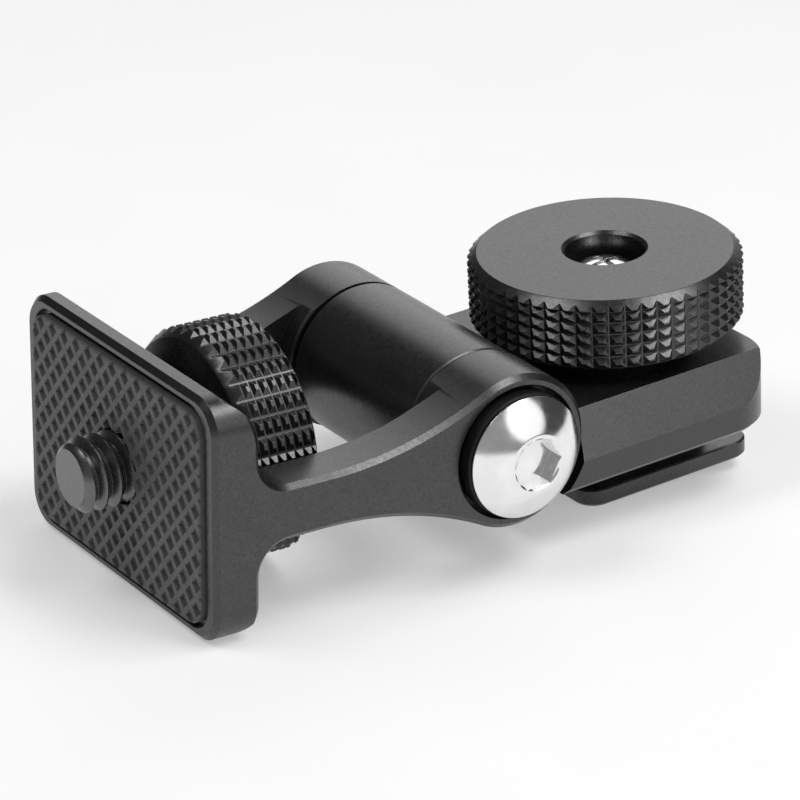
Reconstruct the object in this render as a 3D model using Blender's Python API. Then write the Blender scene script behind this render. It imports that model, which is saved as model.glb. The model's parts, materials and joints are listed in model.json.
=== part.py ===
"""Damped swivel bracket with a screw plate at one end and a clamping shoe foot at the other.

The frame's origin is the centre of the shoe foot's underside, on the clamp knob's axis. +X runs
away from the pivot, Y is parallel to the pivot's axis with the near ear at -Y, and +Z is up. All
coordinates below are measured from the pivot's centre, which pivot_centre places in the frame.
The yoke end is modelled level and then tilted about the pivot by TILT.
"""

import math

import bmesh
import bpy
from mathutils import Matrix, Vector

MM = 0.001
FIT = 0.08 * MM           # radial clearance of a shaft in its hole
GAP = 0.1 * MM            # clearance between stacked pieces
CUT = 2.0 * MM            # how far a cutter runs past the face it opens
TINY = 1.0e-7

SMOOTH_ANGLE = math.radians(32)
ROUND_LARGE = 64          # segments of the large turned pieces
ROUND_SMALL = 40          # segments of screws, washers and bores

# Pivot
TILT = 0.068              # radians, plate end raised
BARREL_R = 6.7 * MM
BARREL_HALF = 8.55 * MM
EAR_INNER = 8.85 * MM
EAR_OUTER = 15.0 * MM
SHANK_R = 3.0 * MM
SLEEVE_R = 3.92 * MM
SLEEVE_HALF = 7.95 * MM
BUSH_R = 3.87 * MM
BUSH_FLANGE_R = 5.4 * MM
COUNTERBORE_R = 5.75 * MM
COUNTERBORE_FLOOR = 12.5 * MM
SPRING_SEAT = 13.15 * MM
WASHER_SEAT = 14.15 * MM
HEAD_SEAT = 15.95 * MM
HEAD_R = 5.25 * MM
HEAD_RIM = 0.25 * MM
HEAD_TOP_R = 2.5 * MM
HEAD_HEIGHT = 1.95 * MM
SOCKET_ACROSS_FLATS = 4.0 * MM
SOCKET_DEPTH = 1.5 * MM
FRICTION_R = 5.5 * MM

# Yoke: screw plate, two arms and two ears
PLATE_FRONT = -28.65 * MM
PLATE_BACK = -26.95 * MM
ROOT_BACK = -24.45 * MM
UPPER_SHOULDER_R = 4.15 * MM
LOWER_SHOULDER_R = 3.0 * MM
SHOULDER_X = -27.6 * MM
PLATE_HALF_Z = 10.45 * MM
PLATE_CORNER_R = 3.0 * MM
ROOT_FILLET = 2.8 * MM
WAIST_HALF = 2.38 * MM
WAIST_X = -18.0 * MM
ARM_INNER = 10.7 * MM
EDGE_CHAMFER = 0.45 * MM
POCKET_HALF_Y = 13.65 * MM
POCKET_HALF_Z = 9.55 * MM
POCKET_DEPTH = 0.55 * MM
POCKET_CORNER_R = 2.33 * MM
PAD_HALF_Y = 13.32 * MM
PAD_HALF_Z = 9.02 * MM
PAD_FACE = -29.1 * MM
PAD_CORNER_R = 2.0 * MM

# Mounting screw and thumbwheel, on the yoke's X axis
SCREW_TIP = -33.15 * MM
SCREW_R = 3.1 * MM
SCREW_TIP_R = 2.38 * MM
THREAD_BACK = -28.5 * MM
NECK_R = 2.4 * MM
NECK_BACK = -25.4 * MM
SCREW_BACK = -18.7 * MM
HUB_R = 5.2 * MM
HUB_FRONT = -25.55 * MM
WHEEL_FRONT = -22.2 * MM
WHEEL_KNURL_FRONT = -21.2 * MM
WHEEL_KNURL_BACK = -16.0 * MM
WHEEL_BACK = -15.5 * MM
WHEEL_R = 9.95 * MM
WHEEL_FRONT_R = 9.3 * MM
WHEEL_BACK_R = 9.15 * MM
WHEEL_WEB_FRONT = -18.6 * MM
WHEEL_WEB_BACK = -17.4 * MM
WHEEL_RECESS_R = 3.6 * MM
LOCK_SCREW_R = 1.25 * MM
LOCK_HEAD_R = 2.4 * MM
LOCK_HEAD_RIM = 0.7 * MM
LOCK_HEAD_HEIGHT = 1.35 * MM
LOCK_SCREW_LENGTH = 3.6 * MM
HUB_WASHER_T = 0.35 * MM

# Shoe block, the other half of the swivel arm
BLOCK_END = 28.45 * MM
BLOCK_HALF_Y = 14.0 * MM
BLOCK_TOP = -0.15 * MM
BLOCK_BOTTOM = -6.13 * MM
BLOCK_CORNER_R = 5.2 * MM
SLANT_TOP_Y = 11.2 * MM
SLANT_LOW_Z = -3.6 * MM
EAR_CLEARANCE_R = 8.1 * MM
EAR_CLEARANCE_Y = 8.45 * MM

# Clamp knob, stud and shoe foot, on a vertical axis
KNOB_X = 19.9 * MM
KNOB_R = 11.85 * MM
KNOB_TOP_R = 11.03 * MM
KNOB_TOP = 7.56 * MM
KNOB_SHOULDER = 6.85 * MM
KNOB_SKIRT = 1.4 * MM
HUB_SEAT_R = 7.4 * MM
KNOB_WASHER_T = 0.3 * MM
KNOB_HOLE_R = 3.46 * MM
KNOB_WEB_TOP = 4.9 * MM
KNOB_WEB_BOTTOM = 4.0 * MM
STUD_R = 2.5 * MM
STUD_BOTTOM = -9.0 * MM
FOOT_BOTTOM = -11.29 * MM
FOOT_TOP = -9.7 * MM
FOOT_X0 = 10.9 * MM
FOOT_X1 = 28.7 * MM
FOOT_HALF_Y = 9.2 * MM
FOOT_CORNER_R = 2.0 * MM
FOOT_CHAMFER = 0.25 * MM
FOOT_FLOOR = 0.6 * MM
KEY_HALF = 6.15 * MM
KEY_TOP = -4.6 * MM
KEY_POCKET_TOP = -2.9 * MM
KEY_CORNER_R = 0.8 * MM

BLACK_ANODISED = ((0.030, 0.030, 0.032), 0.38, 0.85)
BLACK_OXIDE = ((0.025, 0.025, 0.026), 0.42, 0.90)
POLISHED_STEEL = ((0.78, 0.78, 0.79), 0.12, 1.0)
SPRING_STEEL = ((0.42, 0.42, 0.43), 0.30, 1.0)
RUBBER = ((0.070, 0.070, 0.072), 0.80, 0.0)
NYLON = ((0.72, 0.71, 0.66), 0.50, 0.0)
BRASS = ((0.70, 0.52, 0.24), 0.30, 1.0)


def clear_scene():
    """Removes every object, so that the model starts from nothing."""
    for item in list(bpy.data.objects):
        bpy.data.objects.remove(item, do_unlink=True)


def make_material(name, look):
    """One Principled material from a colour, a roughness and a metallic value."""
    colour, roughness, metallic = look
    material = bpy.data.materials.new(name)
    material.use_nodes = True
    shader = material.node_tree.nodes["Principled BSDF"]
    shader.inputs["Base Color"].default_value = (*colour, 1.0)
    shader.inputs["Roughness"].default_value = roughness
    shader.inputs["Metallic"].default_value = metallic
    return material


def make_empty(name, location, parent=None, tilt=0.0):
    """A joint's frame: an empty on the joint's axis."""
    empty = bpy.data.objects.new(name, None)
    bpy.context.scene.collection.objects.link(empty)
    empty.location = location
    empty.rotation_euler = (0.0, tilt, 0.0)
    empty.parent = parent
    return empty


def finish_mesh(bm, name):
    """Welds, turns faces outward and smooths a bmesh, and returns it as a mesh."""
    bmesh.ops.remove_doubles(bm, verts=bm.verts, dist=TINY)
    bmesh.ops.recalc_face_normals(bm, faces=bm.faces)
    mesh = bpy.data.meshes.new(name)
    bm.to_mesh(mesh)
    bm.free()
    mesh.shade_smooth()
    mesh.set_sharp_from_angle(angle=SMOOTH_ANGLE)
    return mesh


def place(name, bm, look, parent=None):
    """Makes the named sub-part. The bmesh is in the parent's frame."""
    obj = bpy.data.objects.new(name, finish_mesh(bm, name))
    bpy.context.scene.collection.objects.link(obj)
    obj.data.materials.append(make_material(name + "_finish", look))
    obj.parent = parent
    return obj


def make_cutter(name, bm, parent=None):
    """A solid that only takes part in Booleans."""
    obj = bpy.data.objects.new(name, finish_mesh(bm, name))
    bpy.context.scene.collection.objects.link(obj)
    obj.parent = parent
    obj.hide_render = True
    obj.display_type = 'WIRE'
    return obj


def boolean(obj, cutter, operation):
    """Adds one exact Boolean step to an object."""
    step = obj.modifiers.new(cutter.name, 'BOOLEAN')
    step.operation = operation
    step.solver = 'EXACT'
    step.object = cutter
    return step


def turned(profile, axis, segments, closed=False):
    """A solid of revolution from (radius, height) points along the X, Y or Z axis."""
    bm = bmesh.new()
    rings = [ring_of_vertices(bm, radius, height, segments) for radius, height in profile]
    pairs = list(zip(rings, rings[1:]))
    if closed:
        pairs.append((rings[-1], rings[0]))
    for lower, upper in pairs:
        bridge_rings(bm, lower, upper, segments)
    bm.transform(axis_matrix(axis))
    return bm


def ring_of_vertices(bm, radius, height, segments):
    """A circle of vertices, or one vertex when the radius is zero."""
    if radius < TINY:
        return [bm.verts.new((0.0, 0.0, height))]
    angles = [2.0 * math.pi * i / segments for i in range(segments)]
    return [bm.verts.new((radius * math.cos(a), radius * math.sin(a), height)) for a in angles]


def bridge_rings(bm, lower, upper, segments):
    """Quads between two circles, or a fan where one of them is a point."""
    if len(lower) == 1 and len(upper) == 1:
        return
    for i in range(segments):
        j = (i + 1) % segments
        corners = [lower[i % len(lower)], lower[j % len(lower)],
                   upper[j % len(upper)], upper[i % len(upper)]]
        bm.faces.new(list(dict.fromkeys(corners)))


def axis_matrix(axis):
    """The rotation that takes +Z to the named axis."""
    if axis == 'X':
        return Matrix.Rotation(math.pi / 2, 4, 'Y')
    if axis == 'Y':
        return Matrix.Rotation(-math.pi / 2, 4, 'X')
    return Matrix.Identity(4)


def lofted(layers):
    """A prism through outlines that have the same number of 3-D points each."""
    bm = bmesh.new()
    rows = [[bm.verts.new(point) for point in layer] for layer in layers]
    count = len(rows[0])
    for lower, upper in zip(rows, rows[1:]):
        for i in range(count):
            j = (i + 1) % count
            bm.faces.new((lower[i], lower[j], upper[j], upper[i]))
    bm.faces.new(rows[0])
    bm.faces.new(rows[-1])
    return bm


def arc(centre, radius, start, end, steps):
    """Points on an arc, angles in degrees, both ends included."""
    angles = [math.radians(start + (end - start) * i / steps) for i in range(steps + 1)]
    return [(centre[0] + radius * math.cos(a), centre[1] + radius * math.sin(a)) for a in angles]


def rounded_rectangle(x0, x1, y0, y1, radius, steps=6):
    """A rectangle's outline with rounded corners."""
    points = arc((x1 - radius, y1 - radius), radius, 0, 90, steps)
    points += arc((x0 + radius, y1 - radius), radius, 90, 180, steps)
    points += arc((x0 + radius, y0 + radius), radius, 180, 270, steps)
    points += arc((x1 - radius, y0 + radius), radius, 270, 360, steps)
    return points


def rounded_slab(half_y, half_z, radius, sections):
    """A slab with rounded corners along X, through (x, inset) sections."""
    layers = []
    for x, inset in sections:
        outline = rounded_rectangle(-half_y + inset, half_y - inset,
                                    -half_z + inset, half_z - inset, radius - inset)
        layers.append([(x, y, z) for y, z in outline])
    return lofted(layers)


def box(low, high):
    """A plain block between two corners."""
    bm = bmesh.new()
    size = Vector(high) - Vector(low)
    middle = (Vector(high) + Vector(low)) / 2
    bmesh.ops.create_cube(bm, size=1.0, matrix=Matrix.Translation(middle) @ Matrix.Diagonal((*size, 1.0)))
    return bm


def mirrored_y(bm):
    """The same shape on the far side."""
    bmesh.ops.scale(bm, vec=(1.0, -1.0, 1.0), verts=bm.verts)
    return bm


def with_mirror(bm):
    """The same shape on both sides."""
    geometry = bm.verts[:] + bm.edges[:] + bm.faces[:]
    bmesh.ops.mirror(bm, geom=geometry, merge_dist=-1.0, axis='Y')
    return bm


def tube_profile(inner, outer, start, end):
    """The section of a plain ring or bush."""
    return [(inner, start), (outer, start), (outer, end), (inner, end)]


# ---- yoke ----------------------------------------------------------------------------

def waist_arc_radius():
    """Radius of the arm's concave edge, which meets the ear's circle on a tangent."""
    reach = WAIST_X ** 2 + WAIST_HALF ** 2 - BARREL_R ** 2
    return reach / (2.0 * (BARREL_R - WAIST_HALF))


def yoke_edge(inset, shoulder):
    """The arms' upper edge in X and Z, from inside the plate round to the ear's end.

    shoulder is the radius of the root's rear corner. inset draws the edge in, for chamfers.
    """
    sweep = waist_arc_radius()
    sweep_centre = (WAIST_X, WAIST_HALF + sweep)
    touch = math.degrees(math.atan2(-sweep_centre[1], -sweep_centre[0])) + 360.0
    fillet_centre = (ROOT_BACK + ROOT_FILLET, WAIST_HALF + ROOT_FILLET)
    shoulder_centre = (ROOT_BACK - shoulder, PLATE_HALF_Z - shoulder)
    shoulder_start = math.degrees(math.acos((SHOULDER_X - shoulder_centre[0]) / shoulder))
    points = arc(shoulder_centre, shoulder - inset, shoulder_start, 0, 6)
    points += arc(fillet_centre, ROOT_FILLET + inset, 180, 270, 6)
    points += arc(sweep_centre, sweep + inset, 270, touch, 10)
    return points + arc((0.0, 0.0), BARREL_R - inset, touch - 180.0, 0, 18)[1:]


def yoke_outline(inset):
    """The arms' closed side outline in X and Z."""
    upper = yoke_edge(inset, UPPER_SHOULDER_R)
    lower = [(x, -z) for x, z in reversed(yoke_edge(inset, LOWER_SHOULDER_R)[:-1])]
    return upper + lower


def build_yoke(parent):
    """Screw plate, arms and ears, machined as one piece."""
    layers = []
    sections = [(-EAR_OUTER, EDGE_CHAMFER), (-EAR_OUTER + EDGE_CHAMFER, 0.0),
                (EAR_OUTER - EDGE_CHAMFER, 0.0), (EAR_OUTER, EDGE_CHAMFER)]
    for y, inset in sections:
        layers.append([(x, y, z) for x, z in yoke_outline(inset)])
    yoke = place("yoke", lofted(layers), BLACK_ANODISED, parent)

    hair = 0.02 * MM
    rounding = rounded_slab(EAR_OUTER + hair, PLATE_HALF_Z, PLATE_CORNER_R,
                            [(SHOULDER_X - CUT, 0.0), (BARREL_R + CUT, 0.0)])
    boolean(yoke, make_cutter("root_rounding", rounding, parent), 'INTERSECT')
    plate = rounded_slab(EAR_OUTER, PLATE_HALF_Z, PLATE_CORNER_R,
                         [(PLATE_FRONT, EDGE_CHAMFER), (PLATE_FRONT + EDGE_CHAMFER, 0.0),
                          (PLATE_BACK, 0.0)])
    boolean(yoke, make_cutter("screw_plate", plate, parent), 'UNION')

    pocket = rounded_slab(POCKET_HALF_Y, POCKET_HALF_Z, POCKET_CORNER_R,
                          [(PLATE_FRONT - CUT, 0.0), (PLATE_FRONT + POCKET_DEPTH, 0.0)])
    boolean(yoke, make_cutter("pad_pocket", pocket, parent), 'DIFFERENCE')

    hole_r = NECK_R + 2 * FIT
    hole = turned([(0, PLATE_FRONT - CUT), (hole_r, PLATE_FRONT - CUT),
                   (hole_r, PLATE_BACK + CUT), (0, PLATE_BACK + CUT)], 'X', ROUND_SMALL)
    boolean(yoke, make_cutter("screw_hole", hole, parent), 'DIFFERENCE')

    slot = box((PLATE_BACK, -ARM_INNER, -PLATE_HALF_Z - CUT),
               (BARREL_R + CUT, ARM_INNER, PLATE_HALF_Z + CUT))
    slot_cutter = make_cutter("yoke_slot", slot, parent)
    boss_r = BARREL_R + 0.3 * MM
    boss = turned([(0, EAR_INNER), (boss_r, EAR_INNER), (boss_r, EAR_OUTER), (0, EAR_OUTER)],
                  'Y', ROUND_LARGE)
    boolean(slot_cutter, make_cutter("ear_bosses", with_mirror(boss), parent), 'DIFFERENCE')
    boolean(yoke, slot_cutter, 'DIFFERENCE')

    ear_bore = BUSH_R + FIT
    end = EAR_OUTER + CUT
    bore = [(0, -end), (COUNTERBORE_R, -end), (COUNTERBORE_R, -COUNTERBORE_FLOOR),
            (ear_bore, -COUNTERBORE_FLOOR), (ear_bore, COUNTERBORE_FLOOR),
            (COUNTERBORE_R, COUNTERBORE_FLOOR), (COUNTERBORE_R, end), (0, end)]
    boolean(yoke, make_cutter("ear_bores", turned(bore, 'Y', ROUND_LARGE), parent), 'DIFFERENCE')


def build_rubber_pad(parent):
    """Anti-slip pad in the plate's pocket, with a hole for the mounting screw."""
    back = PLATE_FRONT + POCKET_DEPTH - GAP
    slab = rounded_slab(PAD_HALF_Y, PAD_HALF_Z, PAD_CORNER_R, [(PAD_FACE, 0.0), (back, 0.0)])
    pad = place("rubber_pad", slab, RUBBER, parent)
    hole_r = SCREW_R + 0.25 * MM
    hole = turned([(0, PAD_FACE - CUT), (hole_r, PAD_FACE - CUT), (hole_r, back + CUT),
                   (0, back + CUT)], 'X', ROUND_SMALL)
    boolean(pad, make_cutter("pad_hole", hole, parent), 'DIFFERENCE')


# ---- mounting screw and thumbwheel ---------------------------------------------------

def build_mount_screw(parent):
    """The captive screw: threaded end, relieved neck and a shank that the wheel holds."""
    bore_r = LOCK_SCREW_R + FIT
    bore_end = SCREW_BACK - LOCK_SCREW_LENGTH
    profile = [(0, SCREW_TIP), (SCREW_TIP_R, SCREW_TIP), (SCREW_R, SCREW_TIP + 0.7 * MM),
               (SCREW_R, THREAD_BACK), (NECK_R, THREAD_BACK), (NECK_R, NECK_BACK),
               (SCREW_R, NECK_BACK), (SCREW_R, SCREW_BACK), (bore_r, SCREW_BACK),
               (bore_r, bore_end), (0, bore_end)]
    place("mount_screw", shifted(profile, 'X', ROUND_SMALL), BLACK_OXIDE, parent)


def shifted(profile, axis, segments, closed=False):
    """A turned piece on the thumbwheel's axis, moved into the wheel joint's own frame."""
    bm = turned(profile, axis, segments, closed)
    bmesh.ops.translate(bm, vec=(-WHEEL_BACK, 0.0, 0.0), verts=bm.verts)
    return bm


def build_thumbwheel(parent):
    """The finger wheel: hub, tapered front edge, grip band and a recess for its lock screw."""
    bore_r = SCREW_R + FIT
    web_r = LOCK_SCREW_R + FIT
    profile = [(bore_r, HUB_FRONT), (HUB_R, HUB_FRONT), (HUB_R, WHEEL_FRONT),
               (WHEEL_FRONT_R, WHEEL_FRONT), (WHEEL_R, WHEEL_KNURL_FRONT),
               (WHEEL_R, WHEEL_KNURL_BACK), (WHEEL_BACK_R, WHEEL_BACK),
               (WHEEL_RECESS_R, WHEEL_BACK), (WHEEL_RECESS_R, WHEEL_WEB_BACK),
               (web_r, WHEEL_WEB_BACK), (web_r, WHEEL_WEB_FRONT), (bore_r, WHEEL_WEB_FRONT)]
    place("thumbwheel", shifted(profile, 'X', ROUND_LARGE, closed=True), BLACK_ANODISED, parent)


def lock_screw_profile(seat, direction):
    """A small pan-head screw, head away from the seat along direction (+1 or -1)."""
    dome = arc((0.0, 0.0), 1.0, 0, 90, 4)
    rise = LOCK_HEAD_HEIGHT - LOCK_HEAD_RIM
    points = [(0, -LOCK_SCREW_LENGTH), (LOCK_SCREW_R, -LOCK_SCREW_LENGTH), (LOCK_SCREW_R, 0),
              (LOCK_HEAD_R, 0)]
    points += [(LOCK_HEAD_R * c, LOCK_HEAD_RIM + rise * s) for c, s in dome[:-1]]
    points.append((0, LOCK_HEAD_HEIGHT))
    return [(r, seat + direction * h) for r, h in points]


def cross_recess(centre, axis):
    """Two crossed slots for a screwdriver."""
    bm = bmesh.new()
    depth = 1.6 * MM
    for turn in (0.0, math.pi / 2):
        slot = Matrix.Rotation(turn, 4, 'Z') @ Matrix.Diagonal((2.6 * MM, 0.55 * MM, depth, 1.0))
        bmesh.ops.create_cube(bm, size=1.0, matrix=slot)
    bm.transform(Matrix.Translation(Vector(centre)) @ axis_matrix(axis))
    return bm


def cut_cross(obj, centre, axis, parent):
    """Cuts the crossed slots into a screw's head, one slot at a time."""
    slots = make_cutter(obj.name + "_slots", cross_recess(centre, axis), parent)
    step = boolean(obj, slots, 'DIFFERENCE')
    step.use_self = True


def build_wheel_lock_screw(parent):
    """Holds the thumbwheel on the mounting screw."""
    seat = WHEEL_WEB_BACK + GAP
    screw = place("wheel_lock_screw", shifted(lock_screw_profile(seat, 1), 'X', ROUND_SMALL),
                  POLISHED_STEEL, parent)
    cut_cross(screw, (seat + LOCK_HEAD_HEIGHT - WHEEL_BACK, 0, 0), 'X', parent)


def build_hub_washer(parent):
    """Thrust washer between the thumbwheel's hub and the plate."""
    front = HUB_FRONT - GAP - HUB_WASHER_T
    ring = tube_profile(NECK_R + 0.2 * MM, HUB_R - 0.2 * MM, front, front + HUB_WASHER_T)
    place("hub_washer", turned(ring, 'X', ROUND_SMALL, closed=True), NYLON, parent)


# ---- pivot ---------------------------------------------------------------------------

def build_pivot_screw(name, side, parent):
    """A button-head screw that holds an ear and sets the joint's damping."""
    ball_drop = HEAD_HEIGHT - HEAD_RIM
    offset = (HEAD_R ** 2 - HEAD_TOP_R ** 2 - ball_drop ** 2) / (2 * ball_drop)
    ball_r = math.hypot(offset, HEAD_R)
    start = math.degrees(math.atan2(offset, HEAD_R))
    end = math.degrees(math.atan2(offset + ball_drop, HEAD_TOP_R))
    dome = arc((0.0, HEAD_SEAT + HEAD_RIM - offset), ball_r, start, end, 6)
    tip = EAR_INNER - 5.0 * MM
    profile = [(0, tip), (SHANK_R, tip), (SHANK_R, HEAD_SEAT), (HEAD_R, HEAD_SEAT)]
    profile += dome + [(0, HEAD_SEAT + HEAD_HEIGHT)]
    bm = turned(profile, 'Y', ROUND_SMALL)
    top = HEAD_SEAT + HEAD_HEIGHT
    corner_r = SOCKET_ACROSS_FLATS / math.sqrt(3.0)
    socket = turned([(0, top - SOCKET_DEPTH), (corner_r, top - SOCKET_DEPTH), (corner_r, top + CUT),
                     (0, top + CUT)], 'Y', 6)
    if side < 0:
        mirrored_y(bm)
        mirrored_y(socket)
    screw = place(name, bm, POLISHED_STEEL, parent)
    boolean(screw, make_cutter(name + "_socket", socket, parent), 'DIFFERENCE')


def build_ring(name, section, side, look, parent):
    """A turned ring on the pivot's axis. side is -1 for the near ear and +1 for the far one."""
    bm = turned(section, 'Y', ROUND_SMALL, closed=True)
    if side < 0:
        mirrored_y(bm)
    place(name, bm, look, parent)


def head_washer_section():
    """The black spacer under a pivot screw's head."""
    return tube_profile(SHANK_R + FIT, 5.35 * MM, WASHER_SEAT, HEAD_SEAT - GAP)


def disc_spring_section():
    """A coned spring washer."""
    inner = SHANK_R + 0.2 * MM
    outer = 5.2 * MM
    thick = 0.5 * MM
    cone = 0.4 * MM
    return [(inner, SPRING_SEAT + cone), (outer, SPRING_SEAT),
            (outer, SPRING_SEAT + thick), (inner, SPRING_SEAT + thick + cone)]


def ear_bush_section():
    """A flanged plain bearing in an ear's bore."""
    bore = SHANK_R + FIT
    seat = COUNTERBORE_FLOOR + GAP
    return [(bore, EAR_INNER + 0.25 * MM), (BUSH_R, EAR_INNER + 0.25 * MM), (BUSH_R, seat),
            (BUSH_FLANGE_R, seat), (BUSH_FLANGE_R, SPRING_SEAT - GAP), (bore, SPRING_SEAT - GAP)]


def friction_washer_section():
    """The damping washer in a barrel end's recess, against the ear."""
    return tube_profile(SLEEVE_R + 0.2 * MM, FRICTION_R, SLEEVE_HALF + 2 * GAP, EAR_INNER - GAP)


def build_axle_sleeve(parent):
    """The steel threaded core in the barrel, which both pivot screws screw into."""
    ring = tube_profile(SHANK_R + FIT, SLEEVE_R, -SLEEVE_HALF, SLEEVE_HALF)
    place("axle_sleeve", turned(ring, 'Y', ROUND_SMALL, closed=True), SPRING_STEEL, parent)


# ---- swivel arm ----------------------------------------------------------------------

def block_outline(inset):
    """The shoe block's plan outline, rounded at its free end."""
    end = BLOCK_END - inset
    half = BLOCK_HALF_Y - inset
    radius = BLOCK_CORNER_R - inset
    points = [(0.0, -half)]
    points += arc((end - radius, -half + radius), radius, -90, 0, 8)
    points += arc((end - radius, half - radius), radius, 0, 90, 8)
    points.append((0.0, half))
    return points


def slant_wedges():
    """The wedges above the two slanted shoulders of the shoe block."""
    run = Vector((BLOCK_HALF_Y - SLANT_TOP_Y, SLANT_LOW_Z - BLOCK_TOP))
    high = Vector((SLANT_TOP_Y, BLOCK_TOP)) - run
    low = Vector((BLOCK_HALF_Y, SLANT_LOW_Z)) + run
    outline = [high, low, Vector((low.x, high.y))]
    ends = (-CUT, BLOCK_END + CUT)
    return with_mirror(lofted([[(x, p.x, p.y) for p in outline] for x in ends]))


def build_swivel_arm(parent):
    """Pivot barrel and shoe block, machined as one piece."""
    sections = [(BLOCK_BOTTOM, EDGE_CHAMFER), (BLOCK_BOTTOM + EDGE_CHAMFER, 0.0), (BLOCK_TOP, 0.0)]
    block = lofted([[(x, y, z) for x, y in block_outline(inset)] for z, inset in sections])
    arm = place("swivel_arm", block, BLACK_ANODISED, parent)
    boolean(arm, make_cutter("slant_wedges", slant_wedges(), parent), 'DIFFERENCE')
    clearance = turned([(0, EAR_CLEARANCE_Y), (EAR_CLEARANCE_R, EAR_CLEARANCE_Y),
                        (EAR_CLEARANCE_R, EAR_OUTER + CUT), (0, EAR_OUTER + CUT)],
                       'Y', ROUND_LARGE)
    boolean(arm, make_cutter("ear_clearances", with_mirror(clearance), parent), 'DIFFERENCE')

    pocket_half = KEY_HALF + GAP
    pocket = rounded_rectangle(KNOB_X - pocket_half, KNOB_X + pocket_half, -pocket_half,
                               pocket_half, KEY_CORNER_R + GAP, 3)
    levels = (BLOCK_BOTTOM - CUT, KEY_POCKET_TOP)
    pocket_solid = lofted([[(x, y, z) for x, y in pocket] for z in levels])
    boolean(arm, make_cutter("key_pocket", pocket_solid, parent), 'DIFFERENCE')
    stud_hole = vertical([(0, BLOCK_BOTTOM), (STUD_R + FIT, BLOCK_BOTTOM), (STUD_R + FIT, CUT),
                          (0, CUT)], ROUND_SMALL)
    boolean(arm, make_cutter("stud_hole", stud_hole, parent), 'DIFFERENCE')

    edge = 0.15 * MM
    barrel = [(0, -BARREL_HALF), (BARREL_R - edge, -BARREL_HALF), (BARREL_R, -BARREL_HALF + edge),
              (BARREL_R, BARREL_HALF - edge), (BARREL_R - edge, BARREL_HALF), (0, BARREL_HALF)]
    boolean(arm, make_cutter("barrel", turned(barrel, 'Y', ROUND_LARGE), parent), 'UNION')

    bore_r = SLEEVE_R + FIT
    recess_r = FRICTION_R + GAP
    recess = SLEEVE_HALF + GAP
    bore = [(0, -BARREL_HALF - CUT), (recess_r, -BARREL_HALF - CUT), (recess_r, -recess),
            (bore_r, -recess), (bore_r, recess), (recess_r, recess),
            (recess_r, BARREL_HALF + CUT), (0, BARREL_HALF + CUT)]
    boolean(arm, make_cutter("barrel_bore", turned(bore, 'Y', ROUND_SMALL), parent), 'DIFFERENCE')


def vertical(profile, segments, closed=False):
    """A turned piece on the clamp knob's axis, measured from the pivot."""
    bm = turned(profile, 'Z', segments, closed)
    bmesh.ops.translate(bm, vec=(KNOB_X, 0.0, 0.0), verts=bm.verts)
    return bm


# ---- clamp ---------------------------------------------------------------------------

def build_knob_washer(parent):
    """The plain washer between the knob's hub and the block's top."""
    bottom = BLOCK_TOP + GAP
    ring = tube_profile(STUD_R + 0.3 * MM, HUB_SEAT_R - 0.2 * MM, bottom, bottom + KNOB_WASHER_T)
    place("knob_washer", vertical(ring, ROUND_SMALL, closed=True), NYLON, parent)


def build_clamp_knob(parent):
    """The large finger knob, with a deep centre hole over its lock screw."""
    seat = BLOCK_TOP + 2 * GAP + KNOB_WASHER_T
    bore_r = STUD_R + FIT
    web_r = LOCK_SCREW_R + FIT
    lip = 0.28 * MM
    skirt_edge = 0.4 * MM
    profile = [(bore_r, seat), (HUB_SEAT_R, seat), (HUB_SEAT_R, KNOB_SKIRT),
               (KNOB_R - skirt_edge, KNOB_SKIRT), (KNOB_R, KNOB_SKIRT + skirt_edge),
               (KNOB_R, KNOB_SHOULDER), (KNOB_TOP_R, KNOB_TOP),
               (KNOB_HOLE_R + lip, KNOB_TOP), (KNOB_HOLE_R, KNOB_TOP - lip),
               (KNOB_HOLE_R, KNOB_WEB_TOP), (web_r, KNOB_WEB_TOP),
               (web_r, KNOB_WEB_BOTTOM), (bore_r, KNOB_WEB_BOTTOM)]
    place("clamp_knob", turned(profile, 'Z', ROUND_LARGE, closed=True), BLACK_ANODISED, parent)


def build_clamp_stud(parent):
    """The stud that turns with the knob and draws the foot up."""
    top = KNOB_WEB_BOTTOM - GAP
    bore_r = LOCK_SCREW_R + FIT
    bore_end = top - LOCK_SCREW_LENGTH
    edge = 0.4 * MM
    profile = [(0, STUD_BOTTOM), (STUD_R - edge, STUD_BOTTOM), (STUD_R, STUD_BOTTOM + edge),
               (STUD_R, top), (bore_r, top), (bore_r, bore_end), (0, bore_end)]
    place("clamp_stud", turned(profile, 'Z', ROUND_SMALL), SPRING_STEEL, parent)


def build_knob_lock_screw(parent):
    """The bright screw at the bottom of the knob's hole, which fixes the knob to its stud."""
    seat = KNOB_WEB_TOP + GAP
    screw = place("knob_lock_screw", turned(lock_screw_profile(seat, 1), 'Z', ROUND_SMALL),
                  POLISHED_STEEL, parent)
    cut_cross(screw, (0, 0, seat + LOCK_HEAD_HEIGHT), 'Z', parent)


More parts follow.
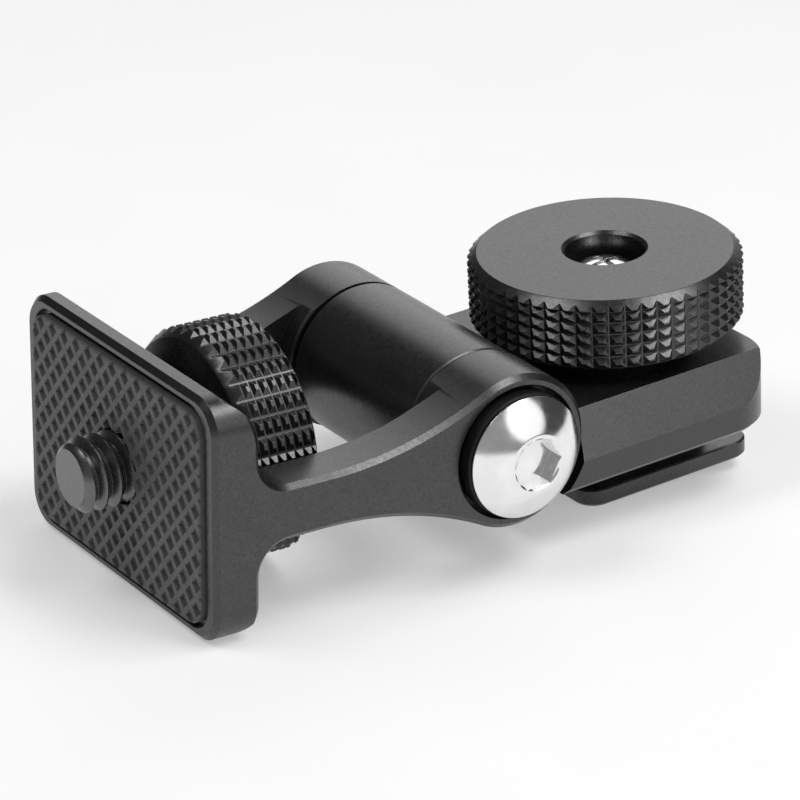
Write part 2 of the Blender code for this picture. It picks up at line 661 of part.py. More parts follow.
def build_shoe_foot(parent):
    """The foot that slides into a shoe. Its square key stops it turning, and its hole is blind."""
    x0 = FOOT_X0 - KNOB_X
    x1 = FOOT_X1 - KNOB_X
    sections = [(FOOT_BOTTOM, FOOT_CHAMFER), (FOOT_BOTTOM + FOOT_CHAMFER, 0.0), (FOOT_TOP, 0.0)]
    layers = []
    for z, inset in sections:
        outline = rounded_rectangle(x0 + inset, x1 - inset, -FOOT_HALF_Y + inset,
                                    FOOT_HALF_Y - inset, FOOT_CORNER_R - inset)
        layers.append([(x, y, z) for x, y in outline])
    foot = place("shoe_foot", lofted(layers), BLACK_ANODISED, parent)
    outline = rounded_rectangle(-KEY_HALF, KEY_HALF, -KEY_HALF, KEY_HALF, KEY_CORNER_R, 3)
    middle = (FOOT_BOTTOM + FOOT_TOP) / 2
    key = lofted([[(x, y, z) for x, y in outline] for z in (middle, KEY_TOP)])
    boolean(foot, make_cutter("foot_key", key, parent), 'UNION')
    hole_r = STUD_R + FIT
    floor = FOOT_BOTTOM + FOOT_FLOOR
    hole = turned([(0, floor), (hole_r, floor), (hole_r, KEY_TOP + CUT), (0, KEY_TOP + CUT)],
                  'Z', ROUND_SMALL)
    boolean(foot, make_cutter("foot_hole", hole, parent), 'DIFFERENCE')


# ---- assembly ------------------------------------------------------------------------

def build_bracket():
    """Every sub-part, each under the empty of the joint that carries it."""
    pivot = make_empty("pivot_centre", (-KNOB_X, 0.0, -FOOT_BOTTOM))
    build_swivel_arm(pivot)
    build_axle_sleeve(pivot)
    build_knob_washer(pivot)
    tilt_frame = make_empty("tilt_axis", (0.0, 0.0, 0.0), pivot, TILT)
    build_yoke(tilt_frame)
    build_rubber_pad(tilt_frame)
    build_hub_washer(tilt_frame)
    wheel_frame = make_empty("wheel_axis", (WHEEL_BACK, 0.0, 0.0), tilt_frame)
    build_mount_screw(wheel_frame)
    build_thumbwheel(wheel_frame)
    build_wheel_lock_screw(wheel_frame)
    for side, label in ((-1, "near"), (1, "far")):
        screw_frame = make_empty(label + "_screw_axis", (0.0, 0.0, 0.0), pivot)
        build_pivot_screw("pivot_screw_" + label, side, screw_frame)
        build_ring("head_washer_" + label, head_washer_section(), side, BLACK_OXIDE, screw_frame)
        build_ring("disc_spring_" + label, disc_spring_section(), side, SPRING_STEEL, screw_frame)
        build_ring("ear_bush_" + label, ear_bush_section(), side, BRASS, tilt_frame)
        build_ring("friction_washer_" + label, friction_washer_section(), side, NYLON, pivot)
    knob_frame = make_empty("knob_axis", (KNOB_X, 0.0, 0.0), pivot)
    build_clamp_knob(knob_frame)
    build_clamp_stud(knob_frame)
    build_knob_lock_screw(knob_frame)
    build_shoe_foot(make_empty("foot_slide_axis", (KNOB_X, 0.0, 0.0), pivot))


clear_scene()
build_bracket()
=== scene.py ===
"""Looks of the damped swivel bracket: machined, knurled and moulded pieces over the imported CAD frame.

Lengths are in millimetres from the pivot's centre, as in the CAD source, until a piece is placed.
The yoke's pieces are modelled level and tilted by TILT when they are placed.
"""

import json
import math

import bmesh
import bpy
from mathutils import Matrix, Vector


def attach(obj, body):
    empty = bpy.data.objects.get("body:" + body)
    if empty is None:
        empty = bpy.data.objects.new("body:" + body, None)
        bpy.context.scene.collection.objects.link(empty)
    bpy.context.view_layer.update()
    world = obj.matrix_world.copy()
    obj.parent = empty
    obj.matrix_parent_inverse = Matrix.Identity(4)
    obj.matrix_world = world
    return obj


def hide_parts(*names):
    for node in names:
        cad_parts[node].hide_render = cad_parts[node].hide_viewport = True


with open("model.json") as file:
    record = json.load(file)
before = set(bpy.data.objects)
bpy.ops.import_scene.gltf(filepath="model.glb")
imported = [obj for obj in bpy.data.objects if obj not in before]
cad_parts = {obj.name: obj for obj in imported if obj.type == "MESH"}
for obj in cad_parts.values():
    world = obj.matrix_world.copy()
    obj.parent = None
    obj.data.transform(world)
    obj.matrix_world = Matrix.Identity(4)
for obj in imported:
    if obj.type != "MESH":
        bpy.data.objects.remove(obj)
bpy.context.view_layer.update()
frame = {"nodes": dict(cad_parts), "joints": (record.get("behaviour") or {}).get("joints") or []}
joints = {joint["name"]: joint for joint in frame["joints"]}

PIVOT = Vector(joints["tilt"]["pos_m"])
SCREW_AXIS = Vector(joints["screw_spin"]["axis"])
TILT = math.atan2(SCREW_AXIS.z, -SCREW_AXIS.x)
WELD = 1.0e-5             # points closer than this are one
ROUND = 160               # segments of a plain turned shape

SWIVEL_MATRIX = Matrix.Translation(PIVOT) @ Matrix.Scale(0.001, 4)
YOKE_MATRIX = Matrix.Translation(PIVOT) @ Matrix.Rotation(TILT, 4, 'Y') @ Matrix.Scale(0.001, 4)


# ---- shapes --------------------------------------------------------------------------

def axis_matrix(axis):
    """The rotation that takes +Z to the named axis."""
    if axis == 'X':
        return Matrix.Rotation(math.pi / 2, 4, 'Y')
    if axis == 'Y':
        return Matrix.Rotation(-math.pi / 2, 4, 'X')
    return Matrix.Identity(4)


def arc(centre, radius, start, end, steps):
    """Points on an arc, angles in degrees, both ends included."""
    angles = [math.radians(start + (end - start) * i / steps) for i in range(steps + 1)]
    return [(centre[0] + radius * math.cos(a), centre[1] + radius * math.sin(a)) for a in angles]


def rounded_rectangle(x0, x1, y0, y1, radius, steps=14):
    """A rectangle's outline with rounded corners."""
    points = arc((x1 - radius, y1 - radius), radius, 0, 90, steps)
    points += arc((x0 + radius, y1 - radius), radius, 90, 180, steps)
    points += arc((x0 + radius, y0 + radius), radius, 180, 270, steps)
    points += arc((x1 - radius, y0 + radius), radius, 270, 360, steps)
    return points


def bridge(bm, lower, upper):
    """Faces between two rings of vertices, or a fan where one of them is a point."""
    count = max(len(lower), len(upper))
    if count == 1:
        return
    for i in range(count):
        j = (i + 1) % count
        corners = [lower[i % len(lower)], lower[j % len(lower)],
                   upper[j % len(upper)], upper[i % len(upper)]]
        bm.faces.new(list(dict.fromkeys(corners)))


def circle_angles(segments):
    """Evenly spaced angles round a circle."""
    return [2.0 * math.pi * i / segments for i in range(segments)]


def revolve(rows, angles, closed=False):
    """A solid from rows of (radius, height) pairs, one pair for each angle, about +Z."""
    bm = bmesh.new()
    rings = []
    for row in rows:
        if max(radius for radius, height in row) < WELD:
            rings.append([bm.verts.new((0.0, 0.0, row[0][1]))])
            continue
        rings.append([bm.verts.new((radius * math.cos(a), radius * math.sin(a), height))
                      for (radius, height), a in zip(row, angles)])
    pairs = list(zip(rings, rings[1:]))
    if closed:
        pairs.append((rings[-1], rings[0]))
    for lower, upper in pairs:
        bridge(bm, lower, upper)
    return bm


def turned(profile, axis='Z', segments=ROUND, closed=False):
    """A solid of revolution from (radius, height) points along an axis."""
    angles = circle_angles(segments)
    bm = revolve([[point] * segments for point in profile], angles, closed)
    bm.transform(axis_matrix(axis))
    return bm


def lofted(layers):
    """A prism through outlines that have the same number of 3-D points each."""
    bm = bmesh.new()
    rows = [[bm.verts.new(point) for point in layer] for layer in layers]
    for lower, upper in zip(rows, rows[1:]):
        bridge(bm, lower, upper)
    bm.faces.new(rows[0])
    bm.faces.new(rows[-1])
    return bm


def rounded_slab(half_y, half_z, radius, sections):
    """A slab with rounded corners along X, through (x, inset) sections."""
    layers = []
    for x, inset in sections:
        outline = rounded_rectangle(-half_y + inset, half_y - inset,
                                    -half_z + inset, half_z - inset, radius - inset)
        layers.append([(x, y, z) for y, z in outline])
    return lofted(layers)


def box(low, high):
    """A block between two corners, used as a cutter."""
    bm = bmesh.new()
    size = Vector(high) - Vector(low)
    middle = (Vector(high) + Vector(low)) / 2
    placing = Matrix.Translation(middle) @ Matrix.Diagonal((*size, 1.0))
    bmesh.ops.create_cube(bm, size=1.0, matrix=placing)
    return bm


def moved(bm, x):
    """The same shape shifted along X."""
    bmesh.ops.translate(bm, vec=(x, 0.0, 0.0), verts=bm.verts)
    return bm


def mirrored_y(bm):
    """The same shape on the far side."""
    bmesh.ops.scale(bm, vec=(1.0, -1.0, 1.0), verts=bm.verts)
    return bm


def with_mirror(bm):
    """The same shape on both sides."""
    geometry = bm.verts[:] + bm.edges[:] + bm.faces[:]
    bmesh.ops.mirror(bm, geom=geometry, merge_dist=-1.0, axis='Y')
    return bm


def temporary(bm):
    """A bmesh as an object that only lives while Booleans run."""
    bmesh.ops.remove_doubles(bm, verts=bm.verts, dist=WELD)
    bmesh.ops.recalc_face_normals(bm, faces=bm.faces)
    mesh = bpy.data.meshes.new("work")
    bm.to_mesh(mesh)
    bm.free()
    obj = bpy.data.objects.new("work", mesh)
    bpy.context.scene.collection.objects.link(obj)
    return obj


def machined(bm, *steps):
    """The shape after exact Booleans, each a pair of operation and cutter."""
    base = temporary(bm)
    cutters = []
    for operation, cutter in steps:
        tool = temporary(cutter)
        cutters.append(tool)
        step = base.modifiers.new("step", 'BOOLEAN')
        step.operation = operation
        step.solver = 'EXACT'
        step.object = tool
    graph = bpy.context.evaluated_depsgraph_get()
    mesh = bpy.data.meshes.new_from_object(base.evaluated_get(graph))
    result = bmesh.new()
    result.from_mesh(mesh)
    for item in [base] + cutters:
        bpy.data.objects.remove(item, do_unlink=True)
    return result


def place(name, bm, matrix, body, material, nodes, sharp=30.0):
    """Makes a piece that stands for CAD nodes, on their body and with its material."""
    bmesh.ops.remove_doubles(bm, verts=bm.verts, dist=WELD)
    bmesh.ops.recalc_face_normals(bm, faces=bm.faces)
    bm.transform(matrix)
    mesh = bpy.data.meshes.new(name)
    bm.to_mesh(mesh)
    bm.free()
    mesh.shade_smooth()
    mesh.set_sharp_from_angle(angle=math.radians(sharp))
    mesh.materials.append(material)
    obj = bpy.data.objects.new(name, mesh)
    bpy.context.scene.collection.objects.link(obj)
    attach(obj, body)
    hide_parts(*nodes)
    return obj


# ---- materials -----------------------------------------------------------------------

NOISE_LOW = 0.3           # noise values below this count as 0
NOISE_HIGH = 0.7          # and above this as 1


class Look:
    """A node material under construction, in the object's own coordinates."""

    def __init__(self, name):
        self.material = bpy.data.materials.new(name)
        self.material.use_nodes = True
        self.tree = self.material.node_tree
        self.shader = self.tree.nodes["Principled BSDF"]
        self.place = self.tree.nodes.new("ShaderNodeTexCoord").outputs["Object"]

    def link(self, source, target):
        """Joins two sockets."""
        self.tree.links.new(source, target)

    def noise(self, scale, detail=3.0, stretch=(1.0, 1.0, 1.0)):
        """A noise value, at a scale per metre."""
        mapping = self.tree.nodes.new("ShaderNodeMapping")
        mapping.inputs["Scale"].default_value = stretch
        self.link(self.place, mapping.inputs["Vector"])
        node = self.tree.nodes.new("ShaderNodeTexNoise")
        node.inputs["Scale"].default_value = scale
        node.inputs["Detail"].default_value = detail
        self.link(mapping.outputs["Vector"], node.inputs["Vector"])
        return node.outputs["Fac"]

    def spread(self, value, low, high):
        """A noise value mapped between two limits."""
        node = self.tree.nodes.new("ShaderNodeMapRange")
        node.inputs["From Min"].default_value = NOISE_LOW
        node.inputs["From Max"].default_value = NOISE_HIGH
        node.inputs["To Min"].default_value = low
        node.inputs["To Max"].default_value = high
        self.link(value, node.inputs["Value"])
        return node.outputs["Result"]

    def ramp(self, value, low, high):
        """A colour between two shades."""
        node = self.tree.nodes.new("ShaderNodeValToRGB")
        node.color_ramp.elements[0].position = NOISE_LOW
        node.color_ramp.elements[0].color = (*low, 1.0)
        node.color_ramp.elements[1].position = NOISE_HIGH
        node.color_ramp.elements[1].color = (*high, 1.0)
        self.link(value, node.inputs["Fac"])
        return node.outputs["Color"]

    def bump(self, value, strength, distance, edge=0.0):
        """Fine relief, with softened edges where edge is more than zero."""
        node = self.tree.nodes.new("ShaderNodeBump")
        node.inputs["Strength"].default_value = strength
        node.inputs["Distance"].default_value = distance
        self.link(value, node.inputs["Height"])
        if edge:
            bevel = self.tree.nodes.new("ShaderNodeBevel")
            bevel.samples = 6
            bevel.inputs["Radius"].default_value = edge
            self.link(bevel.outputs["Normal"], node.inputs["Normal"])
        self.link(node.outputs["Normal"], self.shader.inputs["Normal"])

    def set(self, **values):
        """Principled inputs by name, with spaces written as underscores."""
        for name, value in values.items():
            self.shader.inputs[name.replace("_", " ")].default_value = value


def blasted_aluminium(name, roughness):
    """Black anodised aluminium, bead blasted: a fine grain under a thin clear oxide."""
    look = Look(name)
    look.set(IOR=1.72)
    cloud = look.noise(260.0, 2.0)
    grain = look.noise(6500.0, 2.0)
    look.link(look.ramp(cloud, (0.004, 0.004, 0.0042), (0.008, 0.008, 0.0082)),
              look.shader.inputs["Base Color"])
    look.link(look.spread(look.noise(2500.0), roughness - 0.04, roughness + 0.05),
              look.shader.inputs["Roughness"])
    look.link(look.spread(grain, 0.41, 0.59), look.shader.inputs["Specular IOR Level"])
    look.bump(grain, 0.15, 0.00001, 0.00007)
    return look.material


def black_oxide(name):
    """Blackened steel, slightly worn along its crests."""
    look = Look(name)
    look.set(IOR=2.15)
    look.link(look.ramp(look.noise(1400.0, 4.0), (0.005, 0.005, 0.0055), (0.012, 0.012, 0.0125)),
              look.shader.inputs["Base Color"])
    look.link(look.spread(look.noise(3000.0), 0.24, 0.34), look.shader.inputs["Roughness"])
    look.bump(look.noise(7000.0), 0.25, 0.00002, 0.00005)
    return look.material


def matt_black(name):
    """Deep black oxide on a turned spacer, dull from oil."""
    look = Look(name)
    look.set(IOR=1.35)
    rings = look.noise(1800.0, 3.0, (1.0, 5.0, 1.0))
    look.link(look.ramp(rings, (0.003, 0.003, 0.003), (0.008, 0.008, 0.008)),
              look.shader.inputs["Base Color"])
    look.link(look.spread(look.noise(2400.0), 0.5, 0.62), look.shader.inputs["Roughness"])
    look.bump(look.noise(6000.0), 0.15, 0.00001)
    return look.material


def polished_steel(name):
    """Polished stainless steel with faint handling marks."""
    look = Look(name)
    look.set(Metallic=1.0)
    look.link(look.ramp(look.noise(500.0), (0.80, 0.80, 0.81), (0.88, 0.88, 0.88)),
              look.shader.inputs["Base Color"])
    look.link(look.spread(look.noise(1800.0, 5.0), 0.10, 0.20), look.shader.inputs["Roughness"])
    look.bump(look.noise(1200.0, 5.0), 0.06, 0.00003, 0.00005)
    return look.material


def plain_metal(name, dark, light, low, high):
    """A turned metal with light and dark rings along its surface."""
    look = Look(name)
    look.set(Metallic=1.0)
    look.link(look.ramp(look.noise(2600.0, 4.0, (1.0, 6.0, 1.0)), dark, light),
              look.shader.inputs["Base Color"])
    look.link(look.spread(look.noise(1500.0), low, high), look.shader.inputs["Roughness"])
    look.bump(look.noise(5200.0, 2.0, (1.0, 8.0, 1.0)), 0.2, 0.00002)
    return look.material


def nylon(name):
    """Off-white moulded nylon."""
    look = Look(name)
    look.set(Subsurface_Weight=0.1, Subsurface_Scale=0.0005)
    look.link(look.ramp(look.noise(700.0), (0.66, 0.65, 0.60), (0.76, 0.75, 0.70)),
              look.shader.inputs["Base Color"])
    look.link(look.spread(look.noise(2200.0), 0.42, 0.58), look.shader.inputs["Roughness"])
    look.bump(look.noise(6000.0), 0.2, 0.00002)
    return look.material


def rubber(name):
    """Black moulded rubber with a fine tooth and a little dust grey."""
    look = Look(name)
    look.set(IOR=1.5)
    look.link(look.ramp(look.noise(900.0, 6.0), (0.075, 0.075, 0.076), (0.105, 0.105, 0.106)),
              look.shader.inputs["Base Color"])
    look.link(look.spread(look.noise(3500.0), 0.52, 0.68), look.shader.inputs["Roughness"])
    look.bump(look.noise(8000.0, 4.0), 0.3, 0.00003, 0.00004)
    return look.material


# ---- yoke ----------------------------------------------------------------------------

BREAK = 0.12              # a broken sharp edge
EAR_INNER = 8.85
EAR_OUTER = 15.0
BARREL_R = 6.7
BARREL_HALF = 8.55
PLATE_FRONT = -28.65
PLATE_BACK = -26.95
PLATE_HALF_Z = 10.45
PLATE_CORNER_R = 3.0
ROOT_BACK = -24.45
ROOT_FILLET = 2.8
SHOULDER_X = -27.6
UPPER_SHOULDER_R = 4.15
LOWER_SHOULDER_R = 3.0
WAIST_X = -18.0
WAIST_HALF = 2.38
ARM_INNER = 10.7
EDGE = 0.45               # the chamfer round the yoke and the swivel body
INNER_EDGE = 0.22         # the smaller chamfer inside the arms
POCKET_HALF_Y = 13.65
POCKET_HALF_Z = 9.55
POCKET_CORNER_R = 2.33
POCKET_DEPTH = 0.55
SCREW_HOLE_R = 2.56
EAR_STEP = 0.3            # the ears' inner bosses stand this far outside the barrel
HEAD_BORE_R = 5.75
HEAD_BORE_FLOOR = 12.5
BUSH_BORE_R = 3.95


def yoke_edge(inset, shoulder):
    """The arms' upper edge in X and Z, from inside the plate round to the ear's end."""
    reach = WAIST_X ** 2 + WAIST_HALF ** 2 - BARREL_R ** 2
    sweep = reach / (2.0 * (BARREL_R - WAIST_HALF))
    sweep_centre = (WAIST_X, WAIST_HALF + sweep)
    touch = math.degrees(math.atan2(-sweep_centre[1], -sweep_centre[0])) + 360.0
    fillet_centre = (ROOT_BACK + ROOT_FILLET, WAIST_HALF + ROOT_FILLET)
    shoulder_centre = (ROOT_BACK - shoulder, PLATE_HALF_Z - shoulder)
    shoulder_start = math.degrees(math.acos((SHOULDER_X - shoulder_centre[0]) / shoulder))
    points = arc(shoulder_centre, shoulder - inset, shoulder_start, 0, 16)
    points += arc(fillet_centre, ROOT_FILLET + inset, 180, 270, 18)
    points += arc(sweep_centre, sweep + inset, 270, touch, 28)
    return points + arc((0.0, 0.0), BARREL_R - inset, touch - 180.0, 0, 48)[1:]


def yoke_outline(inset):
    """The arms' closed side outline in X and Z."""
    upper = yoke_edge(inset, UPPER_SHOULDER_R)
    lower = [(x, -z) for x, z in reversed(yoke_edge(inset, LOWER_SHOULDER_R)[:-1])]
    return upper + lower


def yoke_prism(sections):
    """The side outline carried along Y through (y, inset) sections."""
    return lofted([[(x, y, z) for x, z in yoke_outline(inset)] for y, inset in sections])


def inner_edge_strips():
    """The small chamfers along the arms' inner edges, between the plate and the ears, to cut away."""
    section = [(INNER_EDGE, ARM_INNER - 0.02), (-0.4, ARM_INNER - 0.02), (-0.4, ARM_INNER + 0.6)]
    fade_length = 9
    strips = bmesh.new()
    for side, shoulder in ((1.0, UPPER_SHOULDER_R), (-1.0, LOWER_SHOULDER_R)):
        clear = [math.hypot(x, z) > BARREL_R + 2 * EAR_STEP for x, z in yoke_edge(0.0, shoulder)]
        rows = []
        for inset, y in section:
            edge = yoke_edge(inset, shoulder)[8:clear.index(False)]
            left = range(len(edge) - 1, -1, -1)
            fade = [0.3 * max(0.0, 1.0 - steps / fade_length) for steps in left]
            rows.append([strips.verts.new((x, y - out, side * z)) for (x, z), out in zip(edge, fade)])
        for lower, upper in zip(rows, rows[1:] + rows[:1]):
            for i in range(len(lower) - 1):
                strips.faces.new((lower[i], lower[i + 1], upper[i + 1], upper[i]))
        for tip in (0, -1):
            strips.faces.new([row[tip] for row in rows])
    return with_mirror(strips)


def build_yoke(material):
    """Screw plate, arms and ears, machined as one piece."""
    arms = yoke_prism([(-EAR_OUTER, EDGE), (-EAR_OUTER + EDGE, 0.0),
                       (EAR_OUTER - EDGE, 0.0), (EAR_OUTER, EDGE)])
    rounding = rounded_slab(EAR_OUTER, PLATE_HALF_Z, PLATE_CORNER_R,
                            [(SHOULDER_X - 2.0, 0.0), (BARREL_R + 2.0, 0.0)])
    plate = rounded_slab(EAR_OUTER, PLATE_HALF_Z, PLATE_CORNER_R,
                         [(PLATE_FRONT, EDGE), (PLATE_FRONT + EDGE, 0.0),
                          (PLATE_BACK - BREAK, 0.0), (PLATE_BACK, BREAK)])
    pocket = rounded_slab(POCKET_HALF_Y, POCKET_HALF_Z, POCKET_CORNER_R,
                          [(PLATE_FRONT - 2.0, -0.1), (PLATE_FRONT - 0.02, -0.1),
                           (PLATE_FRONT + 0.08, 0.0), (PLATE_FRONT + POCKET_DEPTH, 0.0)])
    hole = turned([(0, -31.0), (SCREW_HOLE_R, -31.0), (SCREW_HOLE_R, -24.0), (0, -24.0)], 'X')
    boss = turned([(0, EAR_INNER), (BARREL_R + BREAK, EAR_INNER),
                   (BARREL_R + EAR_STEP, EAR_INNER + EAR_STEP - BREAK),
                   (BARREL_R + EAR_STEP, EAR_OUTER), (0, EAR_OUTER)], 'Y')
    slot = machined(box((PLATE_BACK, -ARM_INNER, -PLATE_HALF_Z - 2.0),
                        (BARREL_R + 2.0, ARM_INNER, PLATE_HALF_Z + 2.0)),
                    ('DIFFERENCE', with_mirror(boss)))
    rim = 0.08
    half_bore = [(BUSH_BORE_R, HEAD_BORE_FLOOR), (HEAD_BORE_R, HEAD_BORE_FLOOR),
                 (HEAD_BORE_R, EAR_OUTER - rim), (HEAD_BORE_R + rim, EAR_OUTER),
                 (HEAD_BORE_R + rim, EAR_OUTER + 2.0), (0, EAR_OUTER + 2.0)]
    bore = [(r, -y) for r, y in reversed(half_bore)] + half_bore
    bm = machined(arms, ('INTERSECT', rounding), ('UNION', plate), ('DIFFERENCE', pocket),
                  ('DIFFERENCE', hole), ('DIFFERENCE', slot), ('DIFFERENCE', turned(bore, 'Y')),
                  ('DIFFERENCE', inner_edge_strips()))
    place("yoke_body", bm, YOKE_MATRIX, "yoke", material, ["yoke"])


# ---- rubber pad ----------------------------------------------------------------------

PAD_FACE = -29.1
PAD_HALF_Y = 13.32
PAD_HALF_Z = 9.1
PAD_CORNER_R = 2.0
PAD_BACK = PLATE_FRONT + 0.45
PAD_HOLE_R = 3.2
PAD_RIB_Y = 0.98          # half a diamond's width
PAD_RIB_Z = 1.065         # half a diamond's height
PAD_DEPTH = 0.3
PIT_MOUTH = 0.34          # half a pit's width, over the ribs' spacing
PIT_FLOOR = 0.28


def ribbed_block(back):
    """A block whose front is a lattice of crossed ribs with diamond pits between them."""
    steps = [(-0.5, 0.0), (-PIT_MOUTH, 0.0), (-PIT_FLOOR, 1.0), (PIT_FLOOR, 1.0), (PIT_MOUTH, 0.0)]
    reach = 13
    bm = bmesh.new()
    lines = [(cell + offset, high) for cell in range(-reach, reach + 1) for offset, high in steps]
    lines.append((reach + 0.5, 0.0))
    grid = []
    for a, high_a in lines:
        row = []
        for b, high_b in lines:
            x = PAD_FACE + PAD_DEPTH * min(high_a, high_b)
            row.append(bm.verts.new((x, PAD_RIB_Y * (a - b), PAD_RIB_Z * (a + b))))
        grid.append(row)
    last = len(lines) - 1
    for i in range(last):
        for j in range(last):
            corner = [grid[i][j], grid[i + 1][j], grid[i + 1][j + 1], grid[i][j + 1]]
            rising = (lines[i + 1][1] - lines[i][1]) * (lines[j + 1][1] - lines[j][1])
            if rising > 0:
                bm.faces.new((corner[0], corner[1], corner[2]))
                bm.faces.new((corner[0], corner[2], corner[3]))
            elif rising < 0:
                bm.faces.new((corner[0], corner[1], corner[3]))
                bm.faces.new((corner[1], corner[2], corner[3]))
            else:
                bm.faces.new(corner)
    edge = ([grid[i][0] for i in range(last)] + [grid[last][j] for j in range(last)]
            + [grid[i][last] for i in range(last, 0, -1)] + [grid[0][j] for j in range(last, 0, -1)])
    base = [bm.verts.new((back, v.co.y, v.co.z)) for v in edge]
    bridge(bm, edge, base)
    bm.faces.new(base)
    return bm


def build_rubber_pad(material):
    """Anti-slip pad: crossed ribs out to its edge, with a hole for the mounting screw."""
    outline = rounded_slab(PAD_HALF_Y, PAD_HALF_Z, PAD_CORNER_R,
                           [(PAD_FACE - 1.0, BREAK), (PAD_FACE, BREAK),
                            (PAD_FACE + 0.14, 0.0), (PAD_BACK, 0.0)])
    hole = turned([(0, PAD_FACE - 2.0), (PAD_HOLE_R, PAD_FACE - 2.0),
                   (PAD_HOLE_R, PAD_BACK + 2.0), (0, PAD_BACK + 2.0)], 'X')
    bm = machined(ribbed_block(PAD_BACK + 0.5), ('INTERSECT', outline), ('DIFFERENCE', hole))
    place("ribbed_pad", bm, YOKE_MATRIX, "yoke", material, ["rubber_pad"], 25.0)


# ---- knurled wheels ------------------------------------------------------------------

def tooth_steps(flat, groove):
    """One tooth as (offset, height) pairs: groove bottom, slope, tooth top, slope."""
    return [(0.0, 0.0), (groove / 2, 0.0), (0.5 - flat / 2, 1.0), (0.5 + flat / 2, 1.0),
            (1.0 - groove / 2, 0.0)]


def tooth_angles(teeth, flat, groove):
    """Angles round a knurled rim, and the tooth height at each."""
    pairs = [((i + offset) / teeth, high) for i in range(teeth)
             for offset, high in tooth_steps(flat, groove)]
    return [2.0 * math.pi * turn for turn, high in pairs], [high for turn, high in pairs]


def tooth_rows(start, pitch, rows, flat, groove):
    """Places along a knurled band with the tooth height at each, from the first groove to the last."""
    points = [(start + pitch * (i + offset), high) for i in range(rows)
              for offset, high in tooth_steps(flat, groove)]
    return points + [(start + pitch * rows, 0.0)]


def split_teeth(bm):
    """Splits each tooth's corner quads along the ridge between two slopes, about the Z axis."""
    for face in list(bm.faces):
        if len(face.verts) != 4:
            continue
        radii = [math.hypot(v.co.x, v.co.y) for v in face.verts]
        tops = [i for i in range(4) if radii[i] - min(radii) > 0.02]
        if len(tops) == 1:
            bmesh.utils.face_split(face, face.verts[tops[0]], face.verts[(tops[0] + 2) % 4])


def plain_rows(profile, angles):
    """Rows of a turned profile, the same all the way round."""
    return [[point] * len(angles) for point in profile]


def knurled_rows(radius, depth, along, around):
    """Rows of small pyramids on a rim, from the tooth heights along it and round it."""
    return [[(radius - depth * (1.0 - min(high, turn)), height) for turn in around]
            for height, high in along]


def notched_row(radius, height, depth, around, slope):
    """A cone's edge where the axial grooves run out. slope is height per radius, signed."""
    return [(radius - depth * (1.0 - turn), height + slope * depth * (1.0 - turn)) for turn in around]


SHANK_BORE_R = 3.18       # the wheel's bore for the mounting screw
LOCK_HOLE_R = 1.33        # a lock screw's hole
WHEEL_R = 9.95
WHEEL_TEETH = 38
WHEEL_ROWS = 6
WHEEL_PITCH = 0.8
WHEEL_KNURL_START = -20.95
WHEEL_FRONT_NOTCH = -21.2     # where the grooves run out into the front cone
WHEEL_BACK_NOTCH = -16.0
WHEEL_DEPTH = 0.4
WHEEL_HUB_R = 5.2
WHEEL_HUB_END = -25.55
WHEEL_FRONT = -22.2
WHEEL_BACK = -15.5
WHEEL_RECESS_R = 3.6
WHEEL_SEAT = -17.4        # where the lock screw's head sits


def build_thumbwheel(material):
    """The finger wheel: hub, smooth front cone, square knurl and the lock screw's recess."""
    angles, around = tooth_angles(WHEEL_TEETH, 0.30, 0.12)
    along = tooth_rows(WHEEL_KNURL_START, WHEEL_PITCH, WHEEL_ROWS, 0.36, 0.16)
    front = [(SHANK_BORE_R, WHEEL_HUB_END), (WHEEL_HUB_R - 0.15, WHEEL_HUB_END),
             (WHEEL_HUB_R, WHEEL_HUB_END + 0.15), (WHEEL_HUB_R, WHEEL_FRONT - 0.2),
             (WHEEL_HUB_R + 0.2, WHEEL_FRONT), (9.18, WHEEL_FRONT), (9.32, WHEEL_FRONT + 0.08)]
    back = [(9.25, WHEEL_BACK - 0.05), (9.15, WHEEL_BACK), (WHEEL_RECESS_R + 0.15, WHEEL_BACK),
            (WHEEL_RECESS_R, WHEEL_BACK - 0.15), (WHEEL_RECESS_R, WHEEL_SEAT),
            (LOCK_HOLE_R, WHEEL_SEAT), (LOCK_HOLE_R, WHEEL_SEAT - 1.2),
            (SHANK_BORE_R, WHEEL_SEAT - 1.2)]
    rows = plain_rows(front, angles)
    rows.append(notched_row(WHEEL_R, WHEEL_FRONT_NOTCH, WHEEL_DEPTH, around, -1.5))
    rows += knurled_rows(WHEEL_R, WHEEL_DEPTH, along, around)
    rows.append(notched_row(WHEEL_R, WHEEL_BACK_NOTCH, WHEEL_DEPTH, around, 0.6))
    rows += plain_rows(back, angles)
    bm = revolve(rows, angles, closed=True)
    split_teeth(bm)
    bm.transform(axis_matrix('X'))
    place("knurled_thumbwheel", bm, YOKE_MATRIX, "wheel", material, ["thumbwheel"])


KNOB_X = 19.9
KNOB_R = 11.85
KNOB_TEETH = 52
KNOB_ROWS = 5
KNOB_PITCH = 1.03
KNOB_KNURL_START = 1.5
KNOB_NOTCH = 6.85         # where the grooves run out into the top's cone
KNOB_DEPTH = 0.42
KNOB_HUB_R = 7.4
KNOB_HUB_FOOT = 0.35
KNOB_TOP = 7.56
KNOB_HOLE_R = 3.46
KNOB_LIP = 0.28
KNOB_SEAT = 4.9           # where the lock screw's head sits
STUD_BORE_R = 2.58


